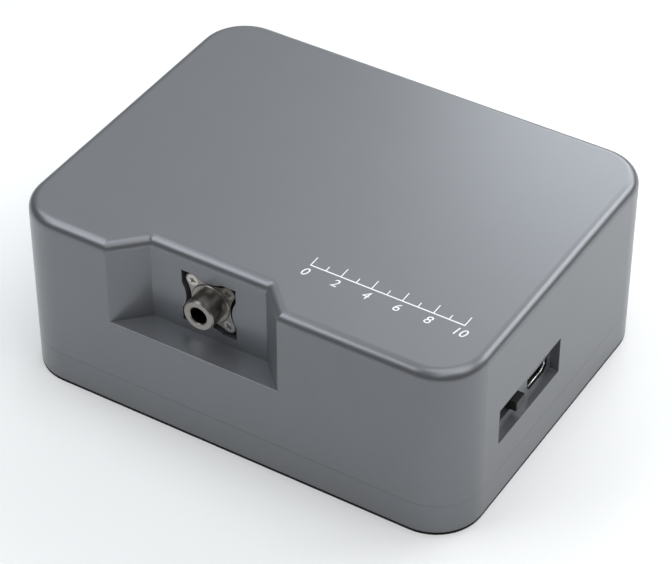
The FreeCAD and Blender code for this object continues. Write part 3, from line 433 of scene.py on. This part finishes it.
def add_bore_lining():
    """A near-black skin just inside the fibre bore, open at both ends, swept from its deep end to the mouth:
    painted shade for the dark of the bore.
    """
    turns = [2 * math.pi * i / bore_shade_sides for i in range(bore_shade_sides)]
    circle = [(math.cos(turn), math.sin(turn)) for turn in turns]
    loops = []
    for radius, depth in reversed(bore_shade_profile):
        y = connector_low.y + depth
        loops.append([(input_x + radius * across, y, input_z + radius * up) for across, up in circle])
    # Near-black: painted shade inside the bore
    mesh = swept_mesh("bore_shade_skin", loops, plain_metal("bore_painted_shade", (0.004, 0.004, 0.004), 0.7))
    mesh.shade_smooth()
    add_piece("bore_shade_skin", mesh)


def socket_outline(grow):
    """The socket's front view as (y, z) points, moved outwards: wide above, with bevelled lower corners."""
    low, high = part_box("data_socket_shell")
    left, right, base = low.y - grow, high.y + grow, low.z - grow
    return [
        (left, high.z + grow),
        (left, base + socket_bevel_height),
        (left + socket_bevel_width, base),
        (right - socket_bevel_width, base),
        (right, base + socket_bevel_height),
        (right, high.z + grow),
    ]


def add_socket_skin(name, steps, material):
    """A skin swept all round the socket, through steps of (outwards, forwards) from the shell's mouth."""
    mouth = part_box("data_socket_shell")[1].x
    loops = [[(mouth + forward, y, z) for y, z in socket_outline(grow)] for grow, forward in steps]
    add_piece(name, swept_mesh(name, loops, material))


def add_socket_rim():
    """The bright rolled edge of the shell's mouth."""
    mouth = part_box("data_socket_shell")[1].x
    curve = bpy.data.curves.new("socket_rim", "CURVE")
    curve.dimensions = "3D"
    curve.bevel_depth = rim_radius
    curve.bevel_resolution = 3
    points = socket_outline(-socket_sheet / 2)
    line = curve.splines.new("POLY")
    line.points.add(len(points) - 1)
    for point, (y, z) in zip(line.points, points):
        point.co = (mouth, y, z, 1.0)
    line.use_cyclic_u = True
    curve.materials.append(plain_metal("rim_steel", (0.85, 0.85, 0.84), 0.2))
    add_piece("socket_rim", curve)


def rounded_outline(low, high, inset, radius):
    """Points round a rectangle with round corners, moved inwards."""
    right, left, back, front = high.x - radius, low.x + radius, high.y - radius, low.y + radius
    reach = radius - inset
    points = []
    for turn, (x, y) in enumerate(((right, back), (left, back), (left, front), (right, front))):
        for i in range(strip_steps + 1):
            angle = (turn + i / strip_steps) * math.pi / 2
            points.append((x + reach * math.cos(angle), y + reach * math.sin(angle)))
    return points


def add_base_strip():
    """A thin black strip under the cover, all along its edge: painted shadow that stands for the dark contact
    shade where the cover meets the floor.
    """
    low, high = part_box("bottom_cover")
    outer = rounded_outline(low, high, strip_inset, strip_corner)
    inner = rounded_outline(low, high, strip_inset + strip_width, strip_corner)
    edges = [(outer, low.z), (outer, strip_rise), (inner, strip_rise), (inner, low.z)]
    loops = [[(x, y, z) for x, y in points] for points, z in edges]
    # Near-black: painted contact shadow
    shadow_finish = plain_plastic("contact_shadow_black", (0.004, 0.004, 0.004), 0.95)
    add_piece("contact_shadow_strip", swept_mesh("contact_shadow_strip", loops, shadow_finish))


def add_floor():
    """The pale floor. The view and mirror-like surfaces see it lifted towards white, with its shadows kept."""
    half = floor_size / 2
    corners = [(-half, -half, 0), (half, -half, 0), (half, half, 0), (-half, half, 0)]
    mesh = bpy.data.meshes.new("floor")
    mesh.from_pydata(corners, [], [(0, 1, 2, 3)])
    floor = bpy.data.objects.new("floor", mesh)
    bpy.context.scene.collection.objects.link(floor)
    finish = Finish("floor", floor_color, roughness=0.9, specular=0.0)
    paper = finish.noise(4 * mm, detail=3.0)
    finish.color(finish.blend(paper, shade(floor_color, 0.997), shade(floor_color, 1.003)))
    paths = finish.node("ShaderNodeLightPath")
    seen = finish.math("MAXIMUM", paths.outputs["Is Camera Ray"], paths.outputs["Is Glossy Ray"])
    seen = finish.math("MAXIMUM", seen, paths.outputs["Is Transmission Ray"])
    finish.shader.inputs["Emission Color"].default_value = (*plain_white, 1.0)
    finish.links.new(finish.math("MULTIPLY", seen, floor_lift), finish.shader.inputs["Emission Strength"])
    mesh.materials.append(finish.material)


def set_sky():
    """A dim, even sky with one broad glow behind the instrument."""
    world = bpy.data.worlds.new("studio")
    world.use_nodes = True
    bpy.context.scene.world = world
    nodes, links = world.node_tree.nodes, world.node_tree.links
    toward = nodes.new("ShaderNodeVectorMath")
    toward.operation = "DOT_PRODUCT"
    toward.inputs[1].default_value = glow_direction
    links.new(nodes.new("ShaderNodeTexCoord").outputs["Generated"], toward.inputs[0])
    steps = (("SUBTRACT", 1.0), ("MULTIPLY", glow_sharpness), ("EXPONENT", 0.0),
             ("MULTIPLY", glow_strength), ("ADD", sky_fill))
    value = toward.outputs["Value"]
    for operation, number in steps:
        step = nodes.new("ShaderNodeMath")
        step.operation = operation
        step.inputs[1].default_value = number
        links.new(value, step.inputs[0])
        value = step.outputs[0]
    back = nodes["Background"]
    back.inputs["Color"].default_value = (*cool_white, 1.0)
    links.new(value, back.inputs["Strength"])


def add_softbox(name, at, aim, size, power, color=cool_white):
    """A rectangular soft light, aimed at a point. The camera doesn't see it."""
    lamp = bpy.data.lights.new(name, "AREA")
    lamp.shape = "RECTANGLE"
    lamp.size, lamp.size_y = size
    lamp.energy = power
    lamp.color = color
    holder = bpy.data.objects.new(name, lamp)
    holder.location = at
    holder.rotation_euler = (Vector(aim) - Vector(at)).to_track_quat("-Z", "Y").to_euler()
    holder.visible_camera = False
    bpy.context.scene.collection.objects.link(holder)


def add_lights():
    """Small softboxes close round the instrument."""
    add_softbox("overhead", at=(0.09, -0.01, 0.32), aim=(0.02, 0.0, 0.04), size=(0.24, 0.24), power=0.38)
    add_softbox("left_wide", at=(-0.19, -0.10, 0.29), aim=(-0.02, 0.0, 0.035), size=(0.34, 0.16), power=0.33)
    add_softbox("left_high", at=(-0.16, 0.02, 0.30), aim=(-0.03, 0.0, 0.04), size=(0.18, 0.18), power=0.08)
    add_softbox("front_left", at=(-0.16, -0.20, 0.30), aim=(-0.02, 0.0, 0.03), size=(0.20, 0.20), power=0.18)
    # Its mirror image brightens the roof's near corner
    add_softbox("near_sheen", at=(-0.118, 0.24, 0.30), aim=(0.03, -0.03, 0.04), size=(0.12, 0.12),
                power=0.018)
    add_softbox("front_right", at=(0.16, -0.22, 0.30), aim=(0.0, 0.0, 0.03), size=(0.16, 0.16), power=0.11,
                color=plain_white)
    add_softbox("back_wide", at=(0.04, 0.32, 0.22), aim=(0.0, 0.0, 0.04), size=(0.36, 0.16), power=0.60)
    add_softbox("right", at=(0.23, -0.02, 0.25), aim=(0.03, 0.0, 0.03), size=(0.14, 0.14), power=0.12,
                color=plain_white)
    add_softbox("right_back", at=(0.23, 0.22, 0.21), aim=(0.0, 0.0, 0.04), size=(0.16, 0.16), power=0.28,
                color=plain_white)


def add_camera():
    """The photograph's camera."""
    forward = Vector((
        -math.sin(view_azimuth) * math.cos(view_elevation),
        math.cos(view_azimuth) * math.cos(view_elevation),
        -math.sin(view_elevation),
    ))
    level = Vector((math.cos(view_azimuth), math.sin(view_azimuth), 0.0))
    below = forward.cross(level)
    right = level * math.cos(view_roll) + below * math.sin(view_roll)
    down = below * math.cos(view_roll) - level * math.sin(view_roll)
    camera = bpy.data.cameras.new("camera")
    camera.sensor_width = sensor_width_mm
    camera.sensor_fit = "HORIZONTAL"
    camera.lens = focal_px * sensor_width_mm / photo_width
    camera.clip_start = 0.01
    holder = bpy.data.objects.new("camera", camera)
    turn = Matrix((right, -down, -forward)).transposed().to_4x4()
    holder.matrix_world = Matrix.Translation(eye) @ turn
    bpy.context.scene.collection.objects.link(holder)
    bpy.context.scene.camera = holder


dress_nodes()
add_scale()
add_bore_lining()
add_base_strip()
# Near-black skin: painted shade in the gap round the socket's shell
gap_painted_shade = plain_plastic("gap_painted_shade", (0.006, 0.006, 0.006), 0.7)
# Near-black skin: painted shade inside the socket
depth_painted_shade = plain_metal("depth_painted_shade", (0.006, 0.006, 0.006), 0.6)
add_socket_skin("socket_gap_shade", gap_shade_steps, gap_painted_shade)
add_socket_skin("socket_depth_shade", depth_shade_steps, depth_painted_shade)
add_socket_rim()
add_floor()
set_sky()
add_lights()
add_camera()
bpy.context.scene.view_settings.view_transform = "Standard"
